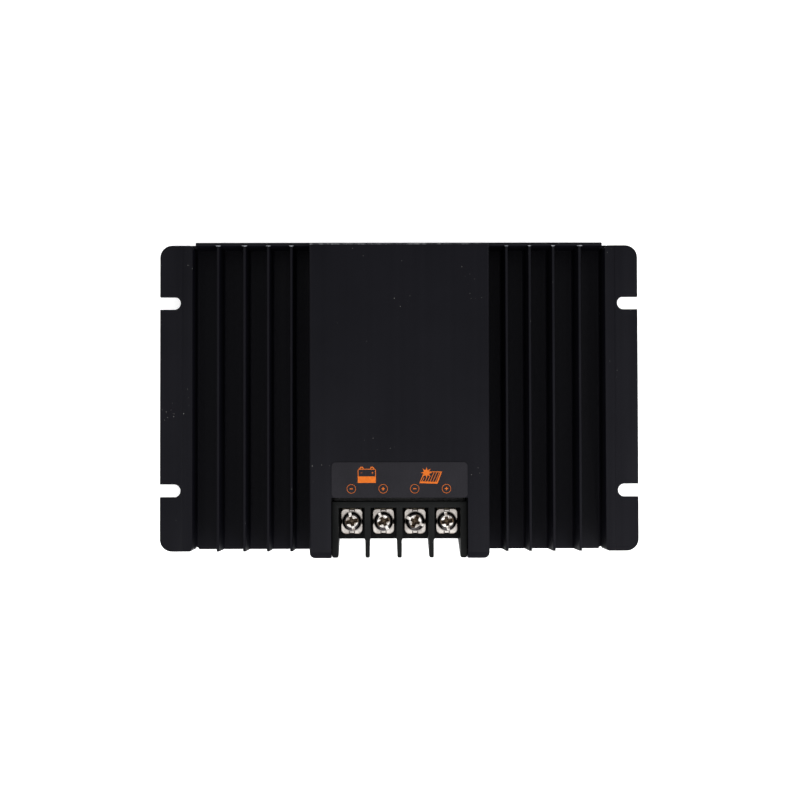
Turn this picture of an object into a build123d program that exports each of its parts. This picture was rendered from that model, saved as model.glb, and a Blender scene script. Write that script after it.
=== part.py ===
from build123d import *
import os

os.makedirs("parts", exist_ok=True)

# Charge controller: an extruded aluminium heat sink with a hollow centre box, closed by end
# plates, holding a power board and a four-pole screw terminal block.
# Frame, in millimetres: X is the width, +Y points away from the terminals, +Z out of the front.
# The origin is the middle of the flat back.

# ---- extrusion ----
OVERALL_W = 195.5
END_HI = 63.2                # sawn end of the extrusion away from the terminals
END_LO = -62.0               # sawn end at the terminals
LENGTH = END_HI - END_LO
BASE_T = 4.0
WALL_X = 84.6                # inner face of the side walls
WALL_T = 2.4
EAR_TOP = 22.0
EAR_T = 3.0
EAR_CORNER_R = 5.0
EAR_STEP_W = 3.9             # shallow strip beside the channel, a little below the ear's face
EAR_STEP_D = 0.15
WALL_END_R = 1.2             # rounding of the side walls' inner corners at both sawn ends
END_BITE_R = 0.9             # small relief in the base's corners at the terminal end
FIN_X = (44.1, 53.6, 63.3, 74.1)
FIN_TOP = 22.0
FIN_TIP_T = 1.05
FIN_ROOT_T = 1.8
FIN_ROOT_R = 0.9
BOX_HALF = 36.4
BOX_TOP = 29.0
BOX_WALL = 2.2
BOX_EDGE_R = 0.7
TUNNEL_HALF = BOX_HALF - BOX_WALL
TUNNEL_TOP = BOX_TOP - BOX_WALL
BOSS_X = 31.7
BOSS_Z = (6.2, 24.6)
BOSS_R = 2.9
BOSS_PILOT_R = 1.25

# ---- mounting slots, open at the ears' outer edges ----
SLOT_R = 2.6
SLOT_X = 92.0
SLOT_Y = (39.5, -37.2)

# ---- terminal block and the notch it looks through ----
PITCH = 13.0
POLE_X = [PITCH * (i - 1.5) for i in range(4)]
NOTCH_HALF = 27.7
NOTCH_TOP_Y = -40.0          # the notch in the front wall starts here
NOTCH_BACK_Y = -55.7         # the base is cut back this far, to the block's skirt
BLOCK_HALF = 27.3
BLOCK_REAR = -41.7
BLOCK_FRONT = -57.2
BLOCK_TOP = 25.7
BLOCK_SKIRT_Z = 1.0
SKIRT_T = 1.3
CELL_W = 10.65
CELL_REAR = -44.1
CELL_FLOOR = 14.5
PLATE_FACE = -64.4           # outer face of the end caps, level with the dividers' tips
DIVIDER_T = 1.85
DIVIDER_TIP_R = 0.6          # rounding of the dividers' free ends
DIVIDER_SLOPE_Z = 21.5       # the dividers' ends lean back below this height
SCREW_Y = -49.9
CONTACT_T = 1.5
CLAMP_W, CLAMP_L, CLAMP_T = 8.9, 10.2, 1.4
CLAMP_CORNER_R = 1.9
SCREW_SHANK_R = 1.9
THREAD_R = 1.96              # running clearance round the shank
CLAMP_HOLE_R = 2.2
HEAD_R = 3.85
HEAD_H = 3.0
HEAD_EDGE_R = 1.2
SHANK_END = 12.0
DRIVE_SLOT_W, DRIVE_SLOT_DEPTH = 1.15, 1.0
DRIVE_CROSS_L, DRIVE_CROSS_W, DRIVE_CROSS_DEPTH, DRIVE_HUB = 4.4, 1.3, 2.0, 2.1
SCREW_TURN = (13, 28, 64, 9)  # how far each slot is turned from +Y, towards -X

# ---- end plates ----
TOP_PLATE_T = 1.2
TOP_PLATE_HALF = 83.4
TOP_PLATE_H = 21.5
TOP_PLATE_LOW_HALF, TOP_PLATE_LOW_H = 86.6, 11.8
CAP_T = END_LO - PLATE_FACE
CAP_CORNER_R = 2.3
SIDE_SCREW = (79.3, 2.0)     # X and Z of the plate's outer screws, in the base
SIDE_PILOT_R, SIDE_PILOT_DEPTH = 1.0, 9.0
SIDE_SHANK_R, SIDE_HEAD_R, SIDE_SCREW_L = 0.95, 1.7, 7.0
PLATE_HEAD_R, PLATE_SHANK_R, PLATE_SCREW_L = 2.35, 1.22, 8.0
CAP_HEAD_R, CAP_HOLE_R, CAP_SCREW_L = 2.4, 1.5, 9.0
HEAD_GAP = 0.05

# ---- circuit board ----
BOARD_Z, BOARD_T = 9.4, 1.6
BOARD_TOP = BOARD_Z + BOARD_T
BOARD_HALF = 33.9
BOARD_LO, BOARD_HI = -55.6, 56.0
RIB_REACH, RIB_T = 1.8, 1.9
RIB_GAP = 0.1
PAD_T = 0.3
FET_X = (-21.0, -7.0, 7.0, 21.0)
FET_HOLE_Y = 4.0
FET_W, FET_BODY_L, FET_TAB_L, FET_H, FET_TAB_T = 10.2, 9.2, 6.4, 4.4, 1.3
FET_BODY_Y = 0.9             # end of the moulded body nearest the tab
FET_PILOT_R, FET_PILOT_DEPTH = 1.25, 3.2
LEAD_PITCH = 2.54


def save(piece, name):
    """Label a finished piece and write it as its own STEP file."""
    piece.part.label = name
    export_step(piece.part, f"parts/{name}.step")


# ---------------------------------------------------------------- heat sink
with BuildPart() as heatsink:
    with BuildSketch(Plane.XZ.offset(-END_HI)):
        with Locations((0, BASE_T / 2)):
            Rectangle(2 * (WALL_X + WALL_T), BASE_T)
        for side in (-1, 1):
            with Locations((side * (WALL_X + WALL_T / 2), EAR_TOP / 2)):
                Rectangle(WALL_T, EAR_TOP)
            ear_w = OVERALL_W / 2 - WALL_X
            with Locations((side * (WALL_X + ear_w / 2), EAR_TOP - EAR_T / 2)):
                Rectangle(ear_w, EAR_T)
            with Locations((side * (WALL_X + EAR_STEP_W / 2), EAR_TOP)):
                Rectangle(EAR_STEP_W, 2 * EAR_STEP_D, mode=Mode.SUBTRACT)
            for x in FIN_X:
                with BuildLine():
                    Polyline(
                        (side * x - FIN_ROOT_T / 2, BASE_T - 1),
                        (side * x - FIN_ROOT_T / 2, BASE_T),
                        (side * x - FIN_TIP_T / 2, FIN_TOP),
                        (side * x + FIN_TIP_T / 2, FIN_TOP),
                        (side * x + FIN_ROOT_T / 2, BASE_T),
                        (side * x + FIN_ROOT_T / 2, BASE_T - 1),
                        close=True,
                    )
                make_face()
        with Locations((0, BOX_TOP / 2)):
            Rectangle(2 * BOX_HALF, BOX_TOP)
    extrude(amount=LENGTH)
    # round the fin roots, the channel corners and the box's long front edges
    long_edges = heatsink.edges().filter_by(Axis.Y)
    roots = [e for e in long_edges if abs(e.center().Z - BASE_T) < 0.01]
    fillet(roots, FIN_ROOT_R)
    long_edges = heatsink.edges().filter_by(Axis.Y)
    fillet([e for e in long_edges if abs(e.center().Z - BOX_TOP) < 0.01], BOX_EDGE_R)
    tips = [
        e
        for e in heatsink.edges().filter_by(Axis.Y)
        if abs(e.center().Z - FIN_TOP) < 0.01 and abs(e.center().X) < WALL_X - 1
    ]
    fillet(tips, 0.3)
    # hollow centre, with screw ports in its corners and guide ribs for the board
    with BuildSketch(Plane.XZ.offset(-END_HI)):
        with Locations((0, (BASE_T + TUNNEL_TOP) / 2)):
            Rectangle(2 * TUNNEL_HALF, TUNNEL_TOP - BASE_T)
        for side in (-1, 1):
            for z in BOSS_Z:
                with Locations((side * BOSS_X, z)):
                    Circle(BOSS_R, mode=Mode.SUBTRACT)
            rib_x = side * (TUNNEL_HALF - RIB_REACH / 2)
            with Locations((rib_x, BOARD_Z - RIB_GAP - RIB_T / 2)):
                Rectangle(RIB_REACH, RIB_T, mode=Mode.SUBTRACT)
            with Locations((rib_x, BOARD_TOP + RIB_GAP + RIB_T / 2)):
                Rectangle(RIB_REACH, RIB_T, mode=Mode.SUBTRACT)
    extrude(amount=LENGTH, mode=Mode.SUBTRACT)
    with BuildSketch(Plane.XZ.offset(-END_HI)):
        for side in (-1, 1):
            for z in BOSS_Z:
                with Locations((side * BOSS_X, z)):
                    Circle(BOSS_PILOT_R)
    extrude(amount=LENGTH, mode=Mode.SUBTRACT)
    # pilot holes for the top plate's outer screws
    with BuildSketch(Plane.XZ.offset(-END_HI)):
        for side in (-1, 1):
            with Locations((side * SIDE_SCREW[0], SIDE_SCREW[1])):
                Circle(SIDE_PILOT_R)
    extrude(amount=SIDE_PILOT_DEPTH, mode=Mode.SUBTRACT)
    # notch for the terminal block, through the front wall and the end of the base
    with BuildSketch(Plane.XY.offset(BASE_T + 1)):
        with Locations((0, (NOTCH_TOP_Y + END_LO - 1) / 2)):
            Rectangle(2 * NOTCH_HALF, NOTCH_TOP_Y - END_LO + 1)
    extrude(amount=BOX_TOP, mode=Mode.SUBTRACT)
    with BuildSketch(Plane.XY.offset(-1)):
        with Locations((0, (NOTCH_BACK_Y + END_LO - 1) / 2)):
            Rectangle(2 * NOTCH_HALF, NOTCH_BACK_Y - END_LO + 1)
    extrude(amount=BASE_T + 2, mode=Mode.SUBTRACT)
    # ears: rounded corners and open-ended slots
    ear_corners = [
        e for e in heatsink.edges().filter_by(Axis.Z) if abs(e.center().X) > OVERALL_W / 2 - 0.1
    ]
    fillet(ear_corners, EAR_CORNER_R)
    with BuildSketch(Plane.XY.offset(EAR_TOP - EAR_T - 1)):
        for side in (-1, 1):
            for y in SLOT_Y:
                with Locations((side * SLOT_X, y)):
                    Circle(SLOT_R)
                with Locations((side * (SLOT_X + 5), y)):
                    Rectangle(10, 2 * SLOT_R)
    extrude(amount=EAR_T + 2, mode=Mode.SUBTRACT)
    # rounded wall corners at both ends, and a relief bite in the base beside them
    corners = [(s, END_HI, -1) for s in (-1, 1)] + [(s, END_LO, 1) for s in (-1, 1)]
    with BuildSketch(Plane.XY.offset(BASE_T + FIN_ROOT_R)):
        for side, end, inward in corners:
            with Locations((side * (WALL_X + WALL_END_R / 2), end + inward * WALL_END_R / 2)):
                Rectangle(WALL_END_R, WALL_END_R)
        for side, end, inward in corners:
            with Locations((side * (WALL_X + WALL_END_R), end + inward * WALL_END_R)):
                Circle(WALL_END_R, mode=Mode.SUBTRACT)
    extrude(amount=EAR_TOP, mode=Mode.SUBTRACT)
    with BuildSketch(Plane.XY.offset(-1)):
        with Locations((-WALL_X, END_LO), (WALL_X, END_LO)):
            Circle(END_BITE_R)
    extrude(amount=BASE_T + 2, mode=Mode.SUBTRACT)
    # tapped holes in the base for the transistor screws
    with BuildSketch(Plane.XY.offset(BASE_T)):
        with Locations([(x, FET_HOLE_Y) for x in FET_X]):
            Circle(FET_PILOT_R)
    extrude(amount=-FET_PILOT_DEPTH, mode=Mode.SUBTRACT)
save(heatsink, "heatsink_body")


# ---------------------------------------------------------------- end plates and their screws
def countersunk_section(head_r, shank_r, length):
    """Half section of a countersunk screw whose flat head lies at height zero, point down."""
    return [
        (0, 0),
        (head_r, 0),
        (shank_r, shank_r - head_r),
        (shank_r, -length + shank_r),
        (shank_r * 0.4, -length),
        (0, -length),
    ]


top_screw_xz = [(s * BOSS_X, BOSS_Z[0]) for s in (-1, 1)]
side_screw_xz = [(s * SIDE_SCREW[0], SIDE_SCREW[1]) for s in (-1, 1)]
top_face = END_HI + TOP_PLATE_T

with BuildPart() as top_plate:
    with BuildSketch(Plane.XZ.offset(-top_face)):
        with Locations((0, TOP_PLATE_H / 2)):
            Rectangle(2 * TOP_PLATE_HALF, TOP_PLATE_H)
        # the lower part reaches out under the ears, to the outside of the side walls
        with Locations((0, TOP_PLATE_LOW_H / 2)):
            Rectangle(2 * TOP_PLATE_LOW_HALF, TOP_PLATE_LOW_H)
    extrude(amount=TOP_PLATE_T)
    plate_corners = [e for e in top_plate.edges().filter_by(Axis.Y) if e.center().Z > 1]
    fillet([e for e in plate_corners if abs(e.center().Z - TOP_PLATE_H) < 0.1], 0.5)
    fillet([e for e in plate_corners if abs(e.center().X) > TOP_PLATE_LOW_HALF - 0.1], 0.8)
    with Locations(*[Plane((x, top_face, z), z_dir=(0, 1, 0)) for x, z in top_screw_xz]):
        CounterSinkHole(
            PLATE_SHANK_R + 0.1, PLATE_HEAD_R + HEAD_GAP, depth=3, counter_sink_angle=90
        )
    with Locations(*[Plane((x, top_face, z), z_dir=(0, 1, 0)) for x, z in side_screw_xz]):
        CounterSinkHole(SIDE_PILOT_R, SIDE_HEAD_R + HEAD_GAP, depth=3, counter_sink_angle=90)
save(top_plate, "top_end_plate")

with BuildPart() as top_screws:
    with BuildSketch(Plane.XZ):
        with BuildLine():
            Polyline(*countersunk_section(PLATE_HEAD_R, PLATE_SHANK_R, PLATE_SCREW_L), close=True)
        make_face()
    revolve(axis=Axis.Z)
top_screw = top_screws.part
with BuildPart() as top_plate_screws:
    with Locations(*[Plane((x, top_face, z), z_dir=(0, 1, 0)) for x, z in top_screw_xz]):
        add(top_screw)
save(top_plate_screws, "top_plate_screws")

with BuildPart() as side_screw_form:
    with BuildSketch(Plane.XZ):
        with BuildLine():
            Polyline(*countersunk_section(SIDE_HEAD_R, SIDE_SHANK_R, SIDE_SCREW_L), close=True)
        make_face()
    revolve(axis=Axis.Z)
side_screw = side_screw_form.part
with BuildPart() as side_screws:
    with Locations(*[Plane((x, top_face, z), z_dir=(0, 1, 0)) for x, z in side_screw_xz]):
        add(side_screw)
save(side_screws, "top_plate_side_screws")

for side, side_name in ((-1, "left"), (1, "right")):
    cap_screw_xz = [(side * BOSS_X, z) for z in BOSS_Z]
    with BuildPart() as cap:
        with BuildSketch(Plane.XZ.offset(-END_LO)):
            cap_w = BOX_HALF - NOTCH_HALF
            with Locations((side * (NOTCH_HALF + cap_w / 2), BOX_TOP / 2)):
                Rectangle(cap_w, BOX_TOP)
        extrude(amount=CAP_T)
        outer = [e for e in cap.edges().filter_by(Axis.Z) if abs(e.center().X) > BOX_HALF - 0.1]
        fillet([e for e in outer if e.center().Y < END_LO - 1], CAP_CORNER_R)
        fillet(cap.faces().sort_by(Axis.Y)[0].edges().sort_by(Axis.Z)[-1], 0.6)
        with Locations(*[Plane((x, PLATE_FACE, z), z_dir=(0, -1, 0)) for x, z in cap_screw_xz]):
            CounterSinkHole(CAP_HOLE_R, CAP_HEAD_R + HEAD_GAP, depth=4, counter_sink_angle=90)
    save(cap, f"terminal_end_cap_{side_name}")

with BuildPart() as cap_screw_form:
    with BuildSketch(Plane.XZ):
        with BuildLine():
            Polyline(*countersunk_section(CAP_HEAD_R, PLATE_SHANK_R, CAP_SCREW_L), close=True)
        make_face()
    revolve(axis=Axis.Z)
cap_screw = cap_screw_form.part
with BuildPart() as cap_screws:
    places = [(s * BOSS_X, z) for s in (-1, 1) for z in BOSS_Z]
    with Locations(*[Plane((x, PLATE_FACE, z), z_dir=(0, -1, 0)) for x, z in places]):
        add(cap_screw)
save(cap_screws, "end_cap_screws")

# soft plug that closes the hollow centre behind the top plate
SEAL_T = 6.0
with BuildPart() as seal:
    with BuildSketch(Plane.XZ.offset(-END_HI)):
        with Locations((0, (BASE_T + TUNNEL_TOP) / 2)):
            Rectangle(2 * TUNNEL_HALF - 0.2, TUNNEL_TOP - BASE_T - 0.2)
        for side in (-1, 1):
            for z in BOSS_Z:
                with Locations((side * BOSS_X, z)):
                    Circle(BOSS_R + 0.1, mode=Mode.SUBTRACT)
            # cleared past the bosses, down to the corners, and round both guide ribs
            for z in (BASE_T, TUNNEL_TOP):
                with Locations((side * TUNNEL_HALF, z)):
                    Rectangle(6.4, 5.0, mode=Mode.SUBTRACT)
            with Locations((side * TUNNEL_HALF, BOARD_Z + BOARD_T / 2)):
                Rectangle(2 * RIB_REACH + 0.2, 6.0, mode=Mode.SUBTRACT)
    extrude(amount=SEAL_T)
save(seal, "tunnel_seal")

# ---------------------------------------------------------------- label
LABEL_W, LABEL_L, LABEL_T = 55.0, 14.3, 0.25
LABEL_Y = -32.8
with BuildPart() as label:
    with BuildSketch(Plane.XY.offset(BOX_TOP)):
        with Locations((0, LABEL_Y)):
            RectangleRounded(LABEL_W, LABEL_L, 1.6)
    extrude(amount=LABEL_T)
save(label, "label_plate")

# ---------------------------------------------------------------- terminal block
TAIL_Y, TAIL_HALF_W, TAIL_T = -45.1, 1.5, 0.9
CONTACT_W = 7.6
CONTACT_FRONT = -54.8
CONTACT_REAR = TAIL_Y + TAIL_T / 2
POCKET_R, POCKET_DEPTH = 2.3, 3.0

with BuildPart() as housing:
    with BuildSketch(Plane.XY.offset(BOARD_TOP)):
        with Locations((0, (BLOCK_REAR + BLOCK_FRONT) / 2)):
            Rectangle(2 * BLOCK_HALF, BLOCK_REAR - BLOCK_FRONT)
    extrude(amount=BLOCK_TOP - BOARD_TOP)
    # skirt that closes the tunnel in front of the board's edge
    with BuildSketch(Plane.XY.offset(BLOCK_SKIRT_Z)):
        with Locations((0, BLOCK_FRONT + SKIRT_T / 2)):
            Rectangle(2 * BLOCK_HALF, SKIRT_T)
    extrude(amount=BOARD_TOP - BLOCK_SKIRT_Z)
    # cells, open at the top and at the wire side
    with BuildSketch(Plane.XY.offset(CELL_FLOOR)):
        for x in POLE_X:
            with Locations((x, (CELL_REAR + BLOCK_FRONT - 1) / 2)):
                Rectangle(CELL_W, CELL_REAR - BLOCK_FRONT + 1)
    extrude(amount=BLOCK_TOP, mode=Mode.SUBTRACT)
    # pockets under the screws and slots for the solder tails
    with BuildSketch(Plane.XY.offset(CELL_FLOOR)):
        with Locations([(x, SCREW_Y) for x in POLE_X]):
            Circle(POCKET_R)
    extrude(amount=-POCKET_DEPTH, mode=Mode.SUBTRACT)
    with BuildSketch(Plane.XY.offset(CELL_FLOOR)):
        with Locations([(x, TAIL_Y) for x in POLE_X]):
            Rectangle(2 * TAIL_HALF_W + 0.2, TAIL_T + 0.2)
    extrude(amount=-(CELL_FLOOR - BOARD_TOP), mode=Mode.SUBTRACT)
    # dividers between the wires: their ends lean back towards the base
    # the two outermost ones are flush with the outer cell walls
    end_wall_t = BLOCK_HALF - 1.5 * PITCH - CELL_W / 2
    walls = [(PITCH * i, DIVIDER_T) for i in (-1, 0, 1)]
    walls += [(side * (BLOCK_HALF - end_wall_t / 2), end_wall_t) for side in (-1, 1)]
    for x, thickness in walls:
        with BuildSketch(Plane.YZ.offset(x - thickness / 2)):
            with BuildLine():
                Polyline(
                    (BLOCK_FRONT + 0.2, BLOCK_SKIRT_Z),
                    (BLOCK_FRONT - 0.6, BLOCK_SKIRT_Z),
                    (PLATE_FACE, DIVIDER_SLOPE_Z),
                    (PLATE_FACE, BLOCK_TOP),
                    (BLOCK_FRONT + 0.2, BLOCK_TOP),
                    close=True,
                )
            make_face()
        extrude(amount=thickness)
    tip_edges = [
        e for e in housing.edges().filter_by(Axis.Z) if e.center().Y < PLATE_FACE + 0.1
    ]
    fillet(tip_edges, DIVIDER_TIP_R)
save(housing, "terminal_housing")

for i, x in enumerate(POLE_X):
    with BuildPart() as contact:
        with BuildSketch(Plane.XY.offset(CELL_FLOOR)):
            with Locations((x, (CONTACT_REAR + CONTACT_FRONT) / 2)):
                Rectangle(CONTACT_W, CONTACT_REAR - CONTACT_FRONT)
        extrude(amount=CONTACT_T)
        with BuildSketch(Plane.XY.offset(BOARD_Z - 1.2)):
            with Locations((x, TAIL_Y)):
                Rectangle(2 * TAIL_HALF_W, TAIL_T)
        extrude(amount=CELL_FLOOR - BOARD_Z + 1.2)
        with BuildSketch(Plane.XY.offset(CELL_FLOOR)):
            with Locations((x, SCREW_Y)):
                Circle(THREAD_R)
        extrude(amount=CONTACT_T, mode=Mode.SUBTRACT)
    save(contact, f"terminal_contact_{i + 1}")

CLAMP_Z = CELL_FLOOR + CONTACT_T
for i, x in enumerate(POLE_X):
    with BuildPart() as clamp:
        with BuildSketch(Plane.XY.offset(CLAMP_Z)):
            with Locations((x, SCREW_Y)):
                RectangleRounded(CLAMP_W, CLAMP_L, CLAMP_CORNER_R)
                Circle(CLAMP_HOLE_R, mode=Mode.SUBTRACT)
            # small nicks half way along each edge
            for dx in (-1, 1):
                with Locations((x + dx * CLAMP_W / 2, SCREW_Y)):
                    Rectangle(0.7, 1.3, mode=Mode.SUBTRACT)
                with Locations((x, SCREW_Y + dx * CLAMP_L / 2)):
                    Rectangle(1.7, 0.7, mode=Mode.SUBTRACT)
        extrude(amount=CLAMP_T)
        chamfer(clamp.faces().sort_by(Axis.Z)[-1].outer_wire().edges(), 0.2)
    save(clamp, f"clamp_plate_{i + 1}")

HEAD_Z = CLAMP_Z + CLAMP_T
for i, x in enumerate(POLE_X):
    with BuildPart() as screw:
        with BuildSketch(Plane.XY.offset(HEAD_Z)):
            with Locations((x, SCREW_Y)):
                Circle(HEAD_R)
        extrude(amount=HEAD_H)
        fillet(screw.faces().sort_by(Axis.Z)[-1].edges(), HEAD_EDGE_R)
        with BuildSketch(Plane.XY.offset(SHANK_END)):
            with Locations((x, SCREW_Y)):
                Circle(SCREW_SHANK_R)
        extrude(amount=HEAD_Z - SHANK_END)
        # combined drive: one straight slot and a tapering cross
        with BuildSketch(Plane.XY.offset(HEAD_Z + HEAD_H)):
            with Locations(Location((x, SCREW_Y), SCREW_TURN[i])):
                Rectangle(DRIVE_SLOT_W, 2 * HEAD_R + 1)
        extrude(amount=-DRIVE_SLOT_DEPTH, mode=Mode.SUBTRACT)
        with BuildSketch(Plane.XY.offset(HEAD_Z + HEAD_H)):
            with Locations(Location((x, SCREW_Y), SCREW_TURN[i])):
                Rectangle(DRIVE_CROSS_L, DRIVE_CROSS_W)
                Rectangle(DRIVE_CROSS_W, DRIVE_CROSS_L)
                Rectangle(DRIVE_HUB, DRIVE_HUB, rotation=45)
        extrude(amount=-DRIVE_CROSS_DEPTH, taper=12, mode=Mode.SUBTRACT)
    save(screw, f"terminal_screw_{i + 1}")

# ---------------------------------------------------------------- circuit board
LEAD_Y = -12.0
lead_places = [(x + k * LEAD_PITCH, LEAD_Y) for x in FET_X for k in (-1, 0, 1)]
CAP_PLACES = {
    "input_capacitor_1": (-21.0, 47.0, 6.25),
    "input_capacitor_2": (-21.0, 32.0, 6.25),
    "output_capacitor_1": (21.5, 49.0, 5.0),
    "output_capacitor_2": (21.5, 36.0, 5.0),
}
CAP_H = 14.0
CAP_LEAD = 2.5

with BuildPart() as board:
    with BuildSketch(Plane.XY.offset(BOARD_Z)):
        with Locations((0, (BOARD_LO + BOARD_HI) / 2)):
            Rectangle(2 * BOARD_HALF, BOARD_HI - BOARD_LO)
        with Locations([(x, FET_HOLE_Y) for x in FET_X]):
            Circle(3.6, mode=Mode.SUBTRACT)
        with Locations(lead_places):
            Circle(0.75, mode=Mode.SUBTRACT)
        with Locations([(x, TAIL_Y) for x in POLE_X]):
            Rectangle(2 * TAIL_HALF_W + 0.4, TAIL_T + 0.4, mode=Mode.SUBTRACT)
        for x, y, r in CAP_PLACES.values():
            with Locations((x - CAP_LEAD, y), (x + CAP_LEAD, y)):
                Circle(0.5, mode=Mode.SUBTRACT)
        # clearance beside the notch, so the board passes between the block's end walls
        for side in (-1, 1):
            with Locations((side * BOARD_HALF, BOARD_LO)):
                Rectangle(8, 6, mode=Mode.SUBTRACT)
    extrude(amount=BOARD_T)
save(board, "circuit_board")

with BuildPart() as insulator:
    with BuildSketch(Plane.XY.offset(BASE_T)):
        with Locations((0, 34.0)):
            Rectangle(54, 44)
    extrude(amount=0.25)
save(insulator, "insulating_sheet")

with BuildPart() as pad:
    with BuildSketch(Plane.XY.offset(BASE_T)):
        with Locations((0, -0.6)):
            Rectangle(54, 17)
        with Locations([(x, FET_HOLE_Y) for x in FET_X]):
            Circle(1.6, mode=Mode.SUBTRACT)
    extrude(amount=PAD_T)
save(pad, "thermal_pad")

FET_Z = BASE_T + PAD_T
for i, x in enumerate(FET_X):
    with BuildPart() as fet:
        with BuildSketch(Plane.XY.offset(FET_Z)):
            with Locations((x, FET_BODY_Y - FET_BODY_L / 2)):
                Rectangle(FET_W, FET_BODY_L)
        extrude(amount=FET_H)
        with BuildSketch(Plane.XY.offset(FET_Z)):
            with Locations((x, FET_BODY_Y + FET_TAB_L / 2)):
                Rectangle(FET_W, FET_TAB_L)
            with Locations((x, FET_HOLE_Y)):
                Circle(1.6, mode=Mode.SUBTRACT)
        extrude(amount=FET_TAB_T)
        # three leads, out of the body and up through the board
        lead_root = FET_BODY_Y - FET_BODY_L
        with BuildSketch(Plane.XY.offset(FET_Z + 2.2)):
            for k in (-1, 0, 1):
                with Locations((x + k * LEAD_PITCH, (lead_root + LEAD_Y - 0.3) / 2)):
                    Rectangle(0.8, lead_root - LEAD_Y + 0.3)
        extrude(amount=0.5)
        with BuildSketch(Plane.XY.offset(FET_Z + 2.2)):
            for k in (-1, 0, 1):
                with Locations((x + k * LEAD_PITCH, LEAD_Y)):
                    Rectangle(0.8, 0.6)
        extrude(amount=BOARD_TOP + 0.8 - FET_Z - 2.2)
    save(fet, f"power_transistor_{i + 1}")

with BuildPart() as fet_screws:
    with BuildSketch(Plane.XY.offset(FET_Z + FET_TAB_T)):
        with Locations([(x, FET_HOLE_Y) for x in FET_X]):
            Circle(2.6)
    extrude(amount=1.9)
    with BuildSketch(Plane.XY.offset(1.0)):
        with Locations([(x, FET_HOLE_Y) for x in FET_X]):
            Circle(1.2)
    extrude(amount=FET_Z + FET_TAB_T - 1.0)
    with BuildSketch(Plane.XY.offset(FET_Z + FET_TAB_T + 1.9)):
        with Locations([(x, FET_HOLE_Y) for x in FET_X]):
            RegularPolygon(1.3, 6)
    extrude(amount=-1.1, mode=Mode.SUBTRACT)
save(fet_screws, "transistor_screws")

for name, (x, y, r) in CAP_PLACES.items():
    with BuildPart() as capacitor:
        with BuildSketch(Plane.XY.offset(BOARD_TOP)):
            with Locations((x, y)):
                Circle(r)
        extrude(amount=CAP_H)
        fillet(capacitor.faces().sort_by(Axis.Z)[-1].edges(), 0.8)
        with BuildSketch(Plane.XY.offset(BOARD_Z - 1.2)):
            with Locations((x - CAP_LEAD, y), (x + CAP_LEAD, y)):
                Circle(0.35)
        extrude(amount=BOARD_T + 1.2)
    save(capacitor, name)

CORE_X, CORE_Y = 0.0, 33.0
CORE_R, CORE_HOLE_R, CORE_H = 11.0, 5.6, 8.0
WIRE_T = 1.1
WIND_Z = BOARD_TOP
with BuildPart() as core:
    with BuildSketch(Plane.XY.offset(WIND_Z + WIRE_T + 0.05)):
        with Locations((CORE_X, CORE_Y)):
            Circle(CORE_R)
            Circle(CORE_HOLE_R, mode=Mode.SUBTRACT)
    extrude(amount=CORE_H)
save(core, "inductor_core")

with BuildPart() as winding:
    for k in range(14):
        turn = Plane((CORE_X, CORE_Y, WIND_Z)).rotated((0, 0, 360 / 14 * k))
        section = Plane(turn.origin, x_dir=turn.x_dir, z_dir=turn.y_dir)
        with BuildSketch(section.offset(-WIRE_T / 2)):
            mid_r = (CORE_R + CORE_HOLE_R) / 2
            mid_z = WIRE_T + 0.05 + CORE_H / 2
            inner_w, inner_h = CORE_R - CORE_HOLE_R + 0.3, CORE_H + 0.1
            with Locations((mid_r, -mid_z if section.y_dir.Z < 0 else mid_z)):
                RectangleRounded(inner_w + 2 * WIRE_T, inner_h + 2 * WIRE_T, 1.0)
                Rectangle(inner_w, inner_h, mode=Mode.SUBTRACT)
        extrude(amount=WIRE_T)
save(winding, "inductor_winding")


# name: X, Y, body width, body length, leads on each X side, leads on each Y side, lead pitch
CHIPS = {
    "controller_chip": (-14.0, -24.0, 7.0, 7.0, 8, 8, 0.8),
    "gate_driver_chip": (12.0, -22.0, 3.9, 4.9, 4, 0, 1.27),
}
LEAD_OUT = 1.0
for name, (x, y, w, l, count_x, count_y, pitch) in CHIPS.items():
    with BuildPart() as chip:
        with BuildSketch(Plane.XY.offset(BOARD_TOP + 0.15)):
            with Locations((x, y)):
                Rectangle(w, l)
        extrude(amount=1.5)
        with BuildSketch(Plane.XY.offset(BOARD_TOP)):
            for k in range(count_x):
                with Locations((x, y + (k - (count_x - 1) / 2) * pitch)):
                    Rectangle(w + 2 * LEAD_OUT, 0.4)
            for k in range(count_y):
                with Locations((x + (k - (count_y - 1) / 2) * pitch, y)):
                    Rectangle(0.4, l + 2 * LEAD_OUT)
        extrude(amount=0.3)
    save(chip, name)

with BuildPart() as shunt:
    with BuildSketch(Plane.XZ.offset(30.0)):
        with BuildLine():
            FilletPolyline(
                (-27.0, BOARD_TOP),
                (-27.0, BOARD_TOP + 3.0),
                (-15.0, BOARD_TOP + 3.0),
                (-15.0, BOARD_TOP),
                radius=1.0,
            )
            offset(amount=0.45, side=Side.LEFT)
        make_face()
    extrude(amount=4.0)
save(shunt, "current_shunt")

with BuildPart() as suppressor:
    with BuildSketch(Plane.YZ.offset(-4.6)):
        with Locations((-35.0, BOARD_TOP + 2.7)):
            Circle(2.6)
    extrude(amount=9.2)
    for side in (-1, 1):
        with BuildSketch(Plane.XZ.offset(35.0 - 0.5)):
            with BuildLine():
                Polyline(
                    (side * 4.0, BOARD_TOP + 2.2),
                    (side * 6.0, BOARD_TOP + 2.2),
                    (side * 6.0, BOARD_TOP),
                    (side * 7.0, BOARD_TOP),
                    (side * 7.0, BOARD_TOP + 3.2),
                    (side * 4.0, BOARD_TOP + 3.2),
                    close=True,
                )
            make_face()
        extrude(amount=1.0)
save(suppressor, "surge_suppressor")

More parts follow.
